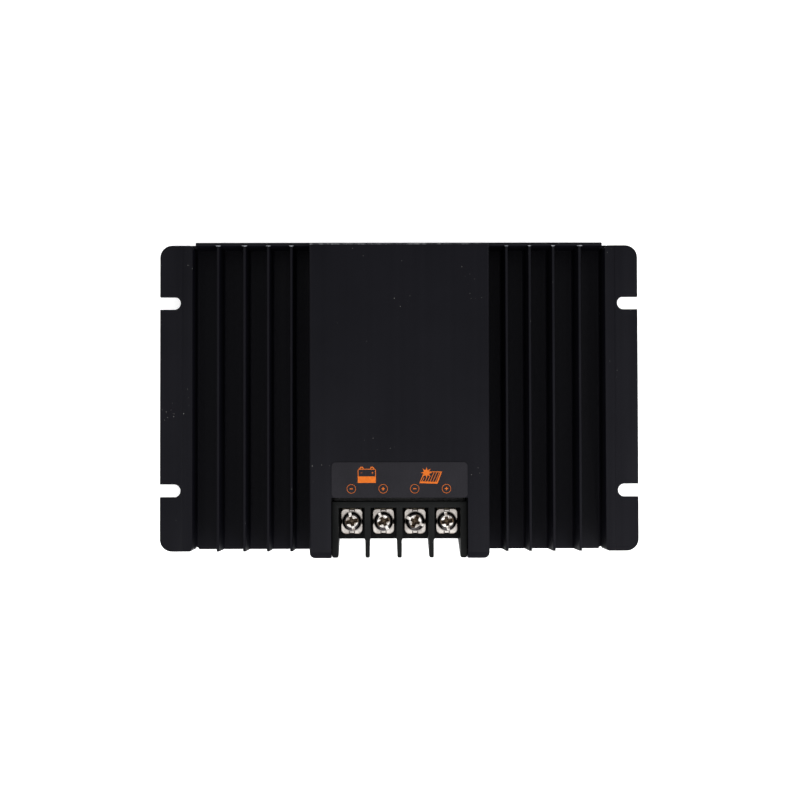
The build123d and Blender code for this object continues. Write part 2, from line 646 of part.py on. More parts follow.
with BuildPart() as resistors:
    with BuildSketch(Plane.XY.offset(BOARD_TOP)):
        with Locations((-2.0, -20.0)):
            with GridLocations(4.0, 3.0, 3, 4):
                Rectangle(2.0, 1.25)
    extrude(amount=0.6)
save(resistors, "chip_resistors")

with BuildPart() as ceramics:
    with BuildSketch(Plane.XY.offset(BOARD_TOP)):
        with Locations((22.0, -24.0)):
            with GridLocations(5.0, 3.4, 2, 4):
                Rectangle(3.2, 1.6)
    extrude(amount=1.3)
save(ceramics, "chip_capacitors")

with BuildPart() as sensor:
    with BuildSketch(Plane.XY.offset(BOARD_TOP)):
        with Locations((0, -8.0)):
            RectangleRounded(3.0, 2.0, 0.6)
    extrude(amount=1.6)
save(sensor, "temperature_sensor")

with BuildPart() as crystal:
    with BuildSketch(Plane.XY.offset(BOARD_TOP)):
        with Locations((-14.0, -15.5)):
            SlotOverall(8.0, 3.2)
    extrude(amount=2.6)
save(crystal, "clock_crystal")
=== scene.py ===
import math
import random

import bmesh
import bpy
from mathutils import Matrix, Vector
from mathutils.geometry import tessellate_polygon


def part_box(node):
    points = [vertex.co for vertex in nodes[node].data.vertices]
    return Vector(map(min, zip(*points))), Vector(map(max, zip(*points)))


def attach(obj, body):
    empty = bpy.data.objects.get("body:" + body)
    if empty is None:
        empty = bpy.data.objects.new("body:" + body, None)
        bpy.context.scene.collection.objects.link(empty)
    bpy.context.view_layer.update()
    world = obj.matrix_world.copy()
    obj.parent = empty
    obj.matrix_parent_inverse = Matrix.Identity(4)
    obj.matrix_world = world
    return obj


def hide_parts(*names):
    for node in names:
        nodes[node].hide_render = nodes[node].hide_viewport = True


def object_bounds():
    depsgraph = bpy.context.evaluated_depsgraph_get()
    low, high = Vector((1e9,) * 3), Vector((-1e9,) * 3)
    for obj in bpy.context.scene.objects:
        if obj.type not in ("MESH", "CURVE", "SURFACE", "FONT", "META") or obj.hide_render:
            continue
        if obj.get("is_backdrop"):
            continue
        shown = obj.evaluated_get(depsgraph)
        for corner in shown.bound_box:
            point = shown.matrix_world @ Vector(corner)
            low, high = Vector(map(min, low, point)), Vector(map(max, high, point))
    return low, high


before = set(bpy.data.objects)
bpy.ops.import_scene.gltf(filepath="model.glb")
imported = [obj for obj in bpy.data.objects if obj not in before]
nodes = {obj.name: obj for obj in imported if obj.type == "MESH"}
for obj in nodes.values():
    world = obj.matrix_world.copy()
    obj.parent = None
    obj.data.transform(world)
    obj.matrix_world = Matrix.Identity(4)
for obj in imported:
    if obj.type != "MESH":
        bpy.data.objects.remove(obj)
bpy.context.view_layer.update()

scene = bpy.context.scene
MM = 0.001


# ------------------------------------------------------------------ camera
LENS = 74.62                  # millimetres, on a 36 mm sensor
CAMERA_AT = Vector((-8.0, -22.1, 700.0)) * MM
CAMERA_TURN = (1.572, -0.368, -0.11)    # degrees about X, then Y, then Z
CAMERA_SHIFT = (0.012, 0.010)

camera_data = bpy.data.cameras.new("camera")
camera_data.lens = LENS
camera_data.sensor_width = 36.0
camera_data.clip_start = 0.01
camera_data.shift_x, camera_data.shift_y = CAMERA_SHIFT
camera = bpy.data.objects.new("camera", camera_data)
scene.collection.objects.link(camera)
camera.location = CAMERA_AT
camera.rotation_euler = [math.radians(angle) for angle in CAMERA_TURN]
scene.camera = camera


# ------------------------------------------------------------------ light
def softbox(name, at, size, power):
    """A rectangular soft light aimed at the middle of the object."""
    data = bpy.data.lights.new(name, "AREA")
    data.shape = "RECTANGLE"
    data.size, data.size_y = size
    data.energy = power
    lamp = bpy.data.objects.new(name, data)
    scene.collection.objects.link(lamp)
    lamp.location = at
    lamp.rotation_euler = (-Vector(at)).to_track_quat("-Z", "Y").to_euler()


world = bpy.data.worlds.new("studio")
scene.world = world
world.use_nodes = True
# the studio is dim at the sides and bright overhead; heights are sines of the angle up
SKY_LOW, SKY_HIGH = 0.16, 1.45
SKY_EDGE, SKY_FULL = 0.62, 0.95        # where the bright part starts, where it is full
WALL_GLOW = 0.84                       # the pale wall near the horizon, added to the low sky
WALL_TOP, WALL_END = 0.20, 0.34        # where the wall starts to fade, where it ends


def sky_band(height, low, high, at_low, at_high):
    """Strength of the sky between two heights, with a smooth change."""
    fade = world.node_tree.nodes.new("ShaderNodeMapRange")
    fade.interpolation_type = "SMOOTHSTEP"
    for key, number in (("From Min", low), ("From Max", high), ("To Min", at_low),
                        ("To Max", at_high)):
        fade.inputs[key].default_value = number
    world.node_tree.links.new(height, fade.inputs["Value"])
    return fade.outputs["Result"]


def fill_light():
    """A soft overhead light, a dim room at the sides and a pale wall at the horizon."""
    tree = world.node_tree
    background = tree.nodes["Background"]
    place = tree.nodes.new("ShaderNodeTexCoord")
    split = tree.nodes.new("ShaderNodeSeparateXYZ")
    both = tree.nodes.new("ShaderNodeMath")
    both.operation = "ADD"
    tree.links.new(place.outputs["Generated"], split.inputs[0])
    height = split.outputs[2]
    tree.links.new(sky_band(height, SKY_EDGE, SKY_FULL, SKY_LOW, SKY_HIGH), both.inputs[0])
    tree.links.new(sky_band(height, WALL_TOP, WALL_END, WALL_GLOW, 0.0), both.inputs[1])
    tree.links.new(both.outputs[0], background.inputs["Strength"])
    background.inputs["Color"].default_value = (1, 1, 1, 1)


fill_light()
softbox("left_box", (-0.85, 0.10, 0.60), (0.8, 0.9), 2.5)
softbox("right_box", (0.60, -0.22, 0.50), (0.5, 0.7), 3.6)
softbox("front_box", (0.06, -0.42, 0.36), (0.7, 0.3), 3.4)
scene.view_settings.view_transform = "Standard"


# ------------------------------------------------------------------ material helper
class Shader:
    """Builds one node material from noises and ramps in the object's own coordinates."""

    def __init__(self, name):
        self.material = bpy.data.materials.new(name)
        self.material.use_nodes = True
        self.tree = self.material.node_tree
        self.bsdf = self.tree.nodes["Principled BSDF"]
        self.place = self.add("ShaderNodeTexCoord").outputs["Object"]
        self.normal = None

    def add(self, kind, **settings):
        node = self.tree.nodes.new(kind)
        for key, value in settings.items():
            setattr(node, key, value)
        return node

    def feed(self, socket, value):
        """Link a socket to another node's output, or give it a plain value."""
        if hasattr(value, "is_output"):
            self.tree.links.new(value, socket)
        elif value is not None:
            if socket.type == "RGBA" and len(value) == 3:
                value = (*value, 1.0)
            socket.default_value = value

    def stretched(self, scale):
        node = self.add("ShaderNodeMapping")
        self.feed(node.inputs["Vector"], self.place)
        self.feed(node.inputs["Scale"], scale)
        return node.outputs["Vector"]

    def noise(self, scale, detail=3.0, rough=0.55, stretch=None):
        """Cloudy noise; scale is in cells a metre."""
        node = self.add("ShaderNodeTexNoise")
        self.feed(node.inputs["Vector"], self.stretched(stretch) if stretch else self.place)
        self.feed(node.inputs["Scale"], float(scale))
        self.feed(node.inputs["Detail"], float(detail))
        self.feed(node.inputs["Roughness"], rough)
        return node.outputs["Fac"]

    def cells(self, scale):
        """Distance to the nearest of many scattered points; scale is in points a metre."""
        node = self.add("ShaderNodeTexVoronoi")
        self.feed(node.inputs["Vector"], self.place)
        self.feed(node.inputs["Scale"], float(scale))
        return node.outputs["Distance"]

    def axis(self, which):
        """One coordinate in the object's own frame, in metres."""
        node = self.add("ShaderNodeSeparateXYZ")
        self.feed(node.inputs[0], self.place)
        return node.outputs[which]

    def facing(self, which):
        """One component of the surface's normal in the object's own frame."""
        node = self.add("ShaderNodeSeparateXYZ")
        self.feed(node.inputs[0], self.add("ShaderNodeTexCoord").outputs["Normal"])
        return node.outputs[which]

    def level(self, flat, upright):
        """A value that goes from one number on level faces to another on upright ones."""
        return self.span(self.math("ABSOLUTE", self.facing(2)), 0.0, 0.6, upright, flat)

    def math(self, operation, first, second=None):
        node = self.add("ShaderNodeMath", operation=operation)
        self.feed(node.inputs[0], first)
        if second is not None:
            self.feed(node.inputs[1], second)
        return node.outputs[0]

    def span(self, value, low, high, to_low=0.0, to_high=1.0):
        """Map a value from one range to another, clamped."""
        node = self.add("ShaderNodeMapRange")
        for key, number in zip(
            ("Value", "From Min", "From Max", "To Min", "To Max"),
            (value, low, high, to_low, to_high),
        ):
            self.feed(node.inputs[key], number)
        return node.outputs["Result"]

    def mix(self, share, first, second):
        node = self.add("ShaderNodeMix", data_type="RGBA")
        self.feed(node.inputs["Factor"], share)
        self.feed(node.inputs[6], first)
        self.feed(node.inputs[7], second)
        return node.outputs[2]

    def bump(self, height, depth, strength=1.0):
        """Add relief; depth is in metres for a height of one."""
        node = self.add("ShaderNodeBump")
        self.feed(node.inputs["Height"], height)
        self.feed(node.inputs["Distance"], depth)
        self.feed(node.inputs["Strength"], strength)
        if self.normal is not None:
            self.feed(node.inputs["Normal"], self.normal)
        self.normal = node.outputs["Normal"]

    def finish(self, colour, rough, metal=0.0, **more):
        """Wire up the surface; extra inputs are given by name, with _ for a space."""
        self.feed(self.bsdf.inputs["Base Color"], colour)
        self.feed(self.bsdf.inputs["Roughness"], rough)
        self.feed(self.bsdf.inputs["Metallic"], metal)
        for key, value in more.items():
            self.feed(self.bsdf.inputs[key.replace("_", " ")], value)
        if self.normal is not None:
            self.feed(self.bsdf.inputs["Normal"], self.normal)
        return self.material


# ------------------------------------------------------------------ materials
# depths of relief, metres
HAIR_DEPTH = 0.000012         # fine scratches, die lines and fibres
GRAIN_DEPTH = 0.000010
WAVE_DEPTH = 0.00009          # soft waviness from tumbling

BLACK_DEEP = (0.0024, 0.0024, 0.0039)
BLACK_SOFT = (0.0047, 0.0046, 0.0067)
BARE_METAL_SHEEN = (0.42, 0.43, 0.45)
DUST = (0.20, 0.20, 0.19)
SPECKS_ABOVE = (0.0205, 0.0210)        # dust shows on the ears, fins and box only
CHIP_BAND = 0.00012                    # how softly the chipped edge starts
CHIP_DEPTH = (0.0009, 0.0006)          # the chips fade out this far below the edge
CHIP_HALF = 0.037                      # half the width that is chipped and painted bright, less towards the right


def anodised(name, lines, worn_sheen_end=None):
    """Satin black anodised aluminium: die lines along X or Y, fine grain, a few specks."""
    s = Shader(name)
    along = {"y": (1.0, 0.004, 1.0), "x": (0.004, 1.0, 1.0)}[lines]
    die = s.noise(2600, 4, 0.6, along)
    broad = s.noise(240, 2, 0.5, along)
    grain = s.noise(5200, 2, 0.6)
    cloud = s.noise(26, 3, 0.55)
    s.bump(die, HAIR_DEPTH, 0.55)
    s.bump(grain, GRAIN_DEPTH, 0.5)
    tone = s.math("ADD", s.math("MULTIPLY", cloud, 0.6), s.math("MULTIPLY", broad, 0.4))
    colour = s.mix(s.span(tone, 0.32, 0.68), BLACK_DEEP, BLACK_SOFT)
    specks = s.math("MULTIPLY", s.span(s.cells(620), 0.10, 0.07), s.span(s.noise(60), 0.60, 0.66))
    specks = s.math("MULTIPLY", specks, s.span(s.axis(2), *SPECKS_ABOVE))
    colour = s.mix(specks, colour, DUST)
    rough = s.span(s.math("ADD", die, cloud), 0.7, 1.3, 0.44, 0.58)
    metal = 0.0
    if worn_sheen_end:
        # the anodising is chipped away at the very edge where the saw left a burr; the bare strip
        # is also a painted highlight of the rounded edge catching the light, brighter towards the
        # left
        start, top = worn_sheen_end
        edge = s.span(s.axis(1), start, start + CHIP_BAND)
        high = s.span(s.axis(2), top - CHIP_DEPTH[0], top - CHIP_DEPTH[1])
        chips = s.span(s.noise(420, 4, 0.7), 0.46, 0.64, 0.08, 0.6)
        side = s.span(s.axis(0), -CHIP_HALF, CHIP_HALF, 1.0, 0.25)
        worn_and_sheen = s.math("MULTIPLY", s.math("MULTIPLY", edge, high), s.math("MULTIPLY", chips, side))
        colour = s.mix(worn_and_sheen, colour, BARE_METAL_SHEEN)
        metal = s.math("MULTIPLY", worn_and_sheen, 0.5)
    return s.finish(colour, rough, metal, Specular_IOR_Level=s.level(0.06, 0.016))


CELL_SHADE = (0.0006, 0.0006, 0.0009)
FLOW_MARKS = 60               # cells a metre


def moulded(name, deep, soft, rough, texture, depth, gloss, shaded=None):
    """Moulded plastic with a fine spark-eroded texture and faint flow marks."""
    s = Shader(name)
    fine = s.noise(texture, 3, 0.6)
    flow = s.noise(FLOW_MARKS, 3, 0.55)
    s.bump(fine, depth, 0.6)
    s.bump(flow, depth * 4, 0.25)
    tone = s.math("ADD", flow, s.math("MULTIPLY", fine, 0.4))
    colour = s.mix(s.span(tone, 0.5, 0.9), deep, soft)
    if shaded:
        # painted shade: the cells are painted a deeper black towards their bottoms, where little
        # light reaches
        low, high = shaded
        colour = s.mix(s.span(s.axis(2), high, low, 0.0, 0.93), colour, CELL_SHADE)
    return s.finish(colour, s.span(fine, 0.3, 0.7, rough - 0.06, rough + 0.08), 0.0,
                    Specular_IOR_Level=s.level(gloss, gloss * 0.3))


def plated(name, deep, bright, rough, tarnish=None):
    """Plated metal: fine scratches, soft waviness from tumbling and a little tarnish."""
    s = Shader(name)
    hair = s.noise(2400, 5, 0.65)
    wave = s.noise(420, 2, 0.5)
    cloud = s.noise(190, 4, 0.6)
    s.bump(hair, HAIR_DEPTH, 0.5)
    s.bump(wave, WAVE_DEPTH, 0.5)
    colour = s.mix(s.span(cloud, 0.34, 0.64), deep, bright)
    if tarnish:
        colour = s.mix(s.span(s.noise(520, 4, 0.7), 0.60, 0.74, 0.0, 0.8), colour, tarnish)
    return s.finish(colour, s.span(hair, 0.3, 0.7, rough - 0.06, rough + 0.12), 1.0)


def within(s, value, half, soft=0.00010):
    """One where the absolute value is under half, fading to nought over a soft edge."""
    return s.span(s.math("ABSOLUTE", value), half + soft, half - soft)


def centred(s, centre):
    """Distances along X and Y from a fitting's own centre line, and the distance from it."""
    across = s.math("SUBTRACT", s.axis(0), centre[0])
    along = s.math("SUBTRACT", s.axis(1), centre[1])
    radius = s.math("SQRT", s.math("ADD", s.math("MULTIPLY", across, across),
                                   s.math("MULTIPLY", along, along)))
    return across, along, radius


def turned(s, across, along, degrees):
    """The same two distances in axes turned with the driver slot."""
    cosine, sine = math.cos(math.radians(degrees)), math.sin(math.radians(degrees))
    new_across = s.math("ADD", s.math("MULTIPLY", across, cosine),
                        s.math("MULTIPLY", along, sine))
    new_along = s.math("SUBTRACT", s.math("MULTIPLY", along, cosine),
                       s.math("MULTIPLY", across, sine))
    return new_across, new_along


# distances on the screw's head in metres
NICKEL = ((0.22, 0.19, 0.17), (0.92, 0.89, 0.85))
# colour of the painted reflection on the screw's rounded shoulder
SHOULDER_SHADE = (0.012, 0.010, 0.011)
GRIME = ((0.030, 0.017, 0.011), (0.120, 0.085, 0.050))
RING_PITCH = 0.00009          # turning marks on the head, metres
RING_GAIN = 11000.0           # brings their height up to about one
SHOULDER = (0.00258, 0.00274)           # radii where the rounded shoulder begins
SLOT_DEEP = 0.001             # the driver slot's floor below the head's top
SLOT_FLOOR = (0.00003, 0.00006)         # heights that still count as the slot's floor
LONG_ARM, LONG_HALF = 0.00262, 0.00086  # the grimy cross: reach and half width of each arm
SHORT_ARM, SHORT_HALF = 0.00190, 0.00072
HUB = (0.00150, 0.00125)      # radii over which the round middle of the cross fades


def screw_head(name, centre, top, degrees):
    """Nickel plated screw: bright top, a painted reflection that darkens the rounded shoulder,
    brown grime in the drive recess.
    """
    s = Shader(name)
    across, along, radius = centred(s, centre)
    wander = s.math("MULTIPLY", s.noise(900, 3), 0.00012)
    rings = s.math("PINGPONG", s.math("ADD", radius, wander), RING_PITCH)
    s.bump(s.math("MULTIPLY", rings, RING_GAIN), GRAIN_DEPTH, 0.5)
    cloud = s.noise(520, 4, 0.65)
    s.bump(cloud, 0.00008, 0.5)
    colour = s.mix(s.span(cloud, 0.40, 0.60), *NICKEL)
    # painted reflection: the rounded shoulder is painted dark, as if it mirrored the dim room,
    # while the flat top and the slot's floor keep the bright nickel
    ragged = s.math("ADD", radius, s.math("MULTIPLY", s.noise(700, 3), 0.0004))
    off_slot = s.math("ABSOLUTE", s.math("SUBTRACT", s.axis(2), top - SLOT_DEEP))
    shoulder = s.math("MULTIPLY", s.span(ragged, *SHOULDER), s.span(off_slot, *SLOT_FLOOR))
    colour = s.mix(s.math("MULTIPLY", shoulder, 0.97), colour, SHOULDER_SHADE)
    # grime fills the cross and creeps over its edges
    blot = s.math("MULTIPLY", s.math("SUBTRACT", s.noise(1100, 3), 0.5), 0.0007)
    wing, spine = turned(s, across, along, degrees)
    wing, spine = s.math("ADD", wing, blot), s.math("ADD", spine, blot)
    level = s.math("MULTIPLY", within(s, spine, LONG_HALF), within(s, wing, LONG_ARM))
    upright = s.math("MULTIPLY", within(s, wing, SHORT_HALF), within(s, spine, SHORT_ARM))
    hub = s.span(radius, *HUB)
    cross = s.math("MAXIMUM", s.math("MAXIMUM", level, upright), hub)
    brown = s.mix(s.span(s.noise(1300, 3), 0.40, 0.62), *GRIME)
    colour = s.mix(s.math("MULTIPLY", cross, 0.97), colour, brown)
    rough = s.span(cross, 0.0, 1.0, 0.22, 0.6)
    return s.finish(colour, rough, 1.0)


# distances on the clamp plate in metres
PRESSING = ((0.36, 0.33, 0.31), (0.66, 0.62, 0.58))
TARNISH = (0.15, 0.10, 0.07)
TARNISH_BAND = (0.00075, 0.00030)       # distances in from the edge, metres
# colour of the painted shade in the creases and round the screw head
CREASE_AND_RING_SHADE = (0.030, 0.022, 0.020)
CREASE_AT = (0.00105, 0.00095)          # creases this far each side of the middle, X and Y
CREASE_HALF = 0.00022
CREASE_FROM_X, CREASE_FROM_Y = (0.0036, 0.0039), (0.0038, 0.0041)   # only near the edges
HEAD_SHADE = (0.00425, 0.00385)         # the dark ring round the screw head


def clamp_face(name, centre, size):
    """Nickel plated pressing: brown tarnish along its edges, painted shade along the creases at
    their middles and round the screw head.
    """
    s = Shader(name)
    across, along, radius = centred(s, centre)
    half_x, half_y = size[0] / 2, size[1] / 2
    hair = s.noise(2400, 5, 0.65, (1.0, 0.08, 1.0))
    cloud = s.noise(300, 4, 0.6)
    s.bump(hair, HAIR_DEPTH, 0.5)
    s.bump(s.noise(420, 2, 0.5), WAVE_DEPTH, 0.5)
    colour = s.mix(s.span(cloud, 0.36, 0.62), *PRESSING)
    off_x, off_y = s.math("ABSOLUTE", across), s.math("ABSOLUTE", along)
    edge = s.math("MINIMUM", s.math("SUBTRACT", half_x, off_x),
                  s.math("SUBTRACT", half_y, off_y))
    ragged = s.math("ADD", edge, s.math("MULTIPLY", s.noise(800, 4, 0.7), 0.0006))
    colour = s.mix(s.span(ragged, *TARNISH_BAND, 0.0, 0.8), colour, TARNISH)
    # painted shade: dark lines along the creases and a dark ring round the screw head
    crease_x = s.math("MULTIPLY", within(s, s.math("SUBTRACT", off_x, CREASE_AT[0]), CREASE_HALF),
                      s.span(off_y, *CREASE_FROM_Y))
    crease_y = s.math("MULTIPLY", within(s, s.math("SUBTRACT", off_y, CREASE_AT[1]), CREASE_HALF),
                      s.span(off_x, *CREASE_FROM_X))
    crease = s.math("MAXIMUM", crease_x, crease_y)
    shade = s.span(radius, *HEAD_SHADE)
    colour = s.mix(s.math("MULTIPLY", s.math("MAXIMUM", crease, shade), 0.9), colour,
                   CREASE_AND_RING_SHADE)
    return s.finish(colour, s.span(hair, 0.3, 0.7, 0.24, 0.42), 1.0)


def label_film(name):
    """Matt dark grey printed film with a faint weave."""
    s = Shader(name)
    fibre = s.noise(1500, 4, 0.6, (1.0, 0.25, 1.0))
    cloud = s.noise(90, 2, 0.5)
    s.bump(fibre, HAIR_DEPTH, 0.5)
    colour = s.mix(s.span(s.math("ADD", fibre, cloud), 0.75, 1.25),
                   (0.0086, 0.0081, 0.0104), (0.0118, 0.0111, 0.0141))
    return s.finish(colour, s.span(fibre, 0.3, 0.7, 0.52, 0.66), 0.0, Specular_IOR_Level=0.10)


def printed_ink(name):
    """Orange screen-printed ink, a little uneven."""
    s = Shader(name)
    mottle = s.noise(900, 4, 0.65)
    s.bump(mottle, GRAIN_DEPTH, 0.5)
    colour = s.mix(s.span(mottle, 0.34, 0.66), (0.43, 0.098, 0.012), (0.52, 0.120, 0.015))
    return s.finish(colour, s.span(mottle, 0.3, 0.7, 0.42, 0.56), 0.0, Specular_IOR_Level=0.05)


TRACK_PITCH = 0.0011          # metres
TRACK_EDGE = (0.00055, 0.00065)
TRACK_WANDER = 0.02


def solder_mask(name):
    """Black solder mask with tracks underneath and tinned pads showing through."""
    s = Shader(name)
    wander = s.math("MULTIPLY", s.noise(45, 1), TRACK_WANDER)
    tracks = s.math("PINGPONG", s.math("ADD", s.axis(0), wander), TRACK_PITCH)
    raised = s.span(tracks, *TRACK_EDGE)
    s.bump(raised, 0.00003, 0.7)
    colour = s.mix(raised, (0.0040, 0.0046, 0.0044), (0.0085, 0.0092, 0.0088))
    pads = s.span(s.cells(260), 0.16, 0.13)
    colour = s.mix(pads, colour, (0.55, 0.56, 0.55))
    return s.finish(colour, s.span(s.noise(800), 0.3, 0.7, 0.28, 0.42), pads)


def sleeve(name):
    """Shrink sleeve of a capacitor, with its bare vented top."""
    s = Shader(name)
    fine = s.noise(1800, 3, 0.6)
    s.bump(fine, GRAIN_DEPTH, 0.5)
    stripe = s.span(s.noise(160, 1, 0.5, (1.0, 1.0, 0.02)), 0.60, 0.62)
    colour = s.mix(stripe, (0.010, 0.014, 0.030), (0.16, 0.18, 0.22))
    top = s.span(s.facing(2), 0.90, 0.97)
    colour = s.mix(top, colour, (0.62, 0.63, 0.64))
    return s.finish(colour, s.span(fine, 0.3, 0.7, 0.28, 0.42), s.math("MULTIPLY", top, 0.9))


TABLE_GLOW = 0.50             # the sweep lies on a light table


def paper(name):
    """Matt white studio sweep with a barely visible tooth, lit a little from below."""
    s = Shader(name)
    tooth = s.noise(900, 3, 0.6)
    s.bump(tooth, 0.00002, 0.2)
    return s.finish(s.mix(tooth, (0.90, 0.90, 0.90), (0.93, 0.93, 0.93)), 0.85, 0.0,
                    Specular_IOR_Level=0.2, Emission_Color=(1.0, 1.0, 1.0),
                    Emission_Strength=TABLE_GLOW)


heatsink_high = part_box("heatsink_body")[1]
WORN_SHEEN_EDGE = 0.00045           # width of the chipped edge with its painted highlight, metres
body_black = anodised("anodised_extrusion", lines="y",
                      worn_sheen_end=(heatsink_high[1] - WORN_SHEEN_EDGE, heatsink_high[2]))
plate_black = anodised("anodised_plate", lines="x")
cap_black = anodised("anodised_cap", lines="x")
oxide_black = plated("black_oxide", (0.010, 0.010, 0.011), (0.022, 0.022, 0.024), rough=0.38)
block_black = moulded("block_plastic", (0.0042, 0.0045, 0.0045), (0.0080, 0.0083, 0.0083),
                      rough=0.46, texture=4200, depth=0.000022, gloss=0.05,
                      shaded=(0.0180, 0.0245))
tinned = plated("tinned_brass", (0.06, 0.05, 0.035), (0.13, 0.11, 0.08), rough=0.40,
                tarnish=(0.05, 0.035, 0.020))

FINISHES = {
    "heatsink_body": body_black,
    "top_end_plate": plate_black,
    "terminal_end_cap": cap_black,
    "top_plate": oxide_black,
    "end_cap_screws": oxide_black,
    "label_plate": label_film("label_film"),
    "terminal_housing": block_black,
    "terminal_contact": tinned,
    "circuit_board": solder_mask("solder_mask"),
    "tunnel_seal": moulded(
        "seal_rubber", (0.0024, 0.0024, 0.0026), (0.0048, 0.0048, 0.0050),
        rough=0.75, texture=1600, depth=0.00006, gloss=0.05),
    "insulating_sheet": moulded(
        "polyester_sheet", (0.55, 0.50, 0.34), (0.66, 0.61, 0.44),
        rough=0.30, texture=900, depth=0.00001, gloss=0.5),
    "thermal_pad": moulded(
        "thermal_pad", (0.25, 0.27, 0.30), (0.34, 0.36, 0.40),
        rough=0.8, texture=1400, depth=0.00006, gloss=0.3),
    "transistor_screws": plated("zinc", (0.48, 0.49, 0.50), (0.68, 0.69, 0.71), rough=0.3),
    "power_transistor": moulded(
        "epoxy_case", (0.008, 0.008, 0.008), (0.018, 0.018, 0.019),
        rough=0.5, texture=3600, depth=0.00002, gloss=0.4),
    "inductor_core": moulded(
        "ferrite", (0.020, 0.020, 0.021), (0.050, 0.050, 0.052),
        rough=0.6, texture=1500, depth=0.00008, gloss=0.4),
    "inductor_winding": plated(
        "enamelled_copper", (0.52, 0.20, 0.07), (0.78, 0.34, 0.14), rough=0.22),
    "current_shunt": plated(
        "shunt_alloy", (0.42, 0.34, 0.28), (0.60, 0.52, 0.45), rough=0.35),
    "clock_crystal": plated(
        "crystal_can", (0.55, 0.55, 0.56), (0.74, 0.74, 0.75), rough=0.25),
    "chip_resistors": moulded(
        "resistor_glaze", (0.010, 0.010, 0.011), (0.030, 0.030, 0.032),
        rough=0.25, texture=1500, depth=0.00002, gloss=0.5),
    "chip_capacitors": moulded(
        "ceramic", (0.34, 0.22, 0.13), (0.46, 0.32, 0.20),
        rough=0.35, texture=1500, depth=0.00002, gloss=0.5),
    "input_capacitor": sleeve("capacitor_sleeve"),
    "output_capacitor": sleeve("capacitor_sleeve_small"),
}
SLOT_TURN = (13, 28, 64, 9)    # how far each driver slot is turned, in degrees
for index, degrees in enumerate(SLOT_TURN, 1):
    low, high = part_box(f"terminal_screw_{index}")
    middle = [(a + b) / 2 for a, b in zip(low, high)]
    FINISHES[f"terminal_screw_{index}"] = screw_head(f"screw_nickel_{index}", middle, high[2],
                                                     degrees)
    low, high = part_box(f"clamp_plate_{index}")
    size = [b - a for a, b in zip(low, high)]
    FINISHES[f"clamp_plate_{index}"] = clamp_face(f"clamp_nickel_{index}", middle, size)
CASE = FINISHES["power_transistor"]
for name, thing in nodes.items():
    finish = CASE
    for start in sorted(FINISHES, key=len):
        if name.startswith(start):
            finish = FINISHES[start]
    thing.data.materials.clear()
    thing.data.materials.append(finish)


# ------------------------------------------------------------------ pieces
def new_piece(name, work, materials):
    """Turn an edited mesh into an object of the scene."""
    data = bpy.data.meshes.new(name)
    work.to_mesh(data)
    work.free()
    for material in materials:
        data.materials.append(material)
    piece = bpy.data.objects.new(name, data)
    scene.collection.objects.link(piece)
    return piece


# ------------------------------------------------------------------ softened edges
SHARP = math.radians(50)      # only edges that turn more than this are softened
SHORTEST_EDGE = 1.2 * MM
WELD = 0.0005 * MM            # corners closer than this are one corner
FLAT = math.radians(0.4)      # faces that turn less than this are one face
CREASE = math.radians(32)     # edges sharper than this stay crisp in the shading
CROSS_REACH, CROSS_HALF, CROSS_DEPTH = 0.56, 0.15, 0.42     # shares of a head's radius
FOOT_REACH, FOOT_HALF = 0.26, 0.09
HEAD_MARGIN = 0.01 * MM       # a head's face lies within this of the outermost level
rng_heads = random.Random(5)


def is_free_edge(edge):
    """A long, crisp, outward edge that can take a small round."""
    return (len(edge.link_faces) == 2 and edge.is_convex
            and edge.calc_face_angle(0.0) > SHARP and edge.calc_length() > SHORTEST_EDGE)


def cad_form(name):
    """A CAD node's form as an editable mesh with its flat faces whole."""
    work = bmesh.new()
    work.from_mesh(nodes[name].data)
    bmesh.ops.remove_doubles(work, verts=work.verts, dist=WELD)
    bmesh.ops.dissolve_limit(work, angle_limit=FLAT, verts=work.verts, edges=work.edges)
    return work


def stand_in(name, work):
    """Put an edited form in the place of its CAD node."""
    bmesh.ops.recalc_face_normals(work, faces=work.faces)
    for face in work.faces:
        face.smooth = True
    for edge in work.edges:
        if len(edge.link_faces) == 2 and edge.calc_face_angle(0.0) > CREASE:
            edge.smooth = False
    piece = new_piece(name + "_soft", work, nodes[name].data.materials)
    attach(piece, "root")
    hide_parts(name)


def soften(name, width):
    """Stand-in for a CAD node with its crisp outer edges slightly rounded."""
    work = cad_form(name)
    edges = [edge for edge in work.edges if is_free_edge(edge)]
    bmesh.ops.bevel(work, geom=edges, offset=width * MM, segments=2, profile=0.5,
                    affect="EDGES", clamp_overlap=True, miter_outer="ARC")
    stand_in(name, work)


def cross_corners(centre, reach, half, turn):
    """The twelve corners of a cross in the plane of a screw head that faces along Y."""
    corners = []
    for k in range(4):
        angle = turn + math.pi / 2 * k
        for u, v in ((reach, -half), (reach, half), (half, half)):
            corners.append(Vector((
                centre.x + u * math.cos(angle) - v * math.sin(angle),
                centre.y,
                centre.z + u * math.sin(angle) + v * math.cos(angle))))
    return corners


def sink_cross(work, head, turn):
    """Replace a flat head face by the same face with a tapering cross recess."""
    centre = head.calc_center_median()
    inward = -head.normal.copy()
    radius = (head.verts[0].co - centre).length
    rim = cross_corners(centre, CROSS_REACH * radius, CROSS_HALF * radius, turn)
    foot = cross_corners(centre, FOOT_REACH * radius, FOOT_HALF * radius, turn)
    outer = list(head.verts)
    triangles = tessellate_polygon([[vert.co for vert in outer], rim])
    work.faces.remove(head)
    rim = [work.verts.new(point) for point in rim]
    foot = [work.verts.new(point + inward * CROSS_DEPTH * radius) for point in foot]
    corners = outer + rim
    for triangle in triangles:
        work.faces.new([corners[k] for k in triangle])
    count = len(rim)
    for k in range(count):
        n = (k + 1) % count
        work.faces.new((rim[k], rim[n], foot[n], foot[k]))
    work.faces.new(foot)


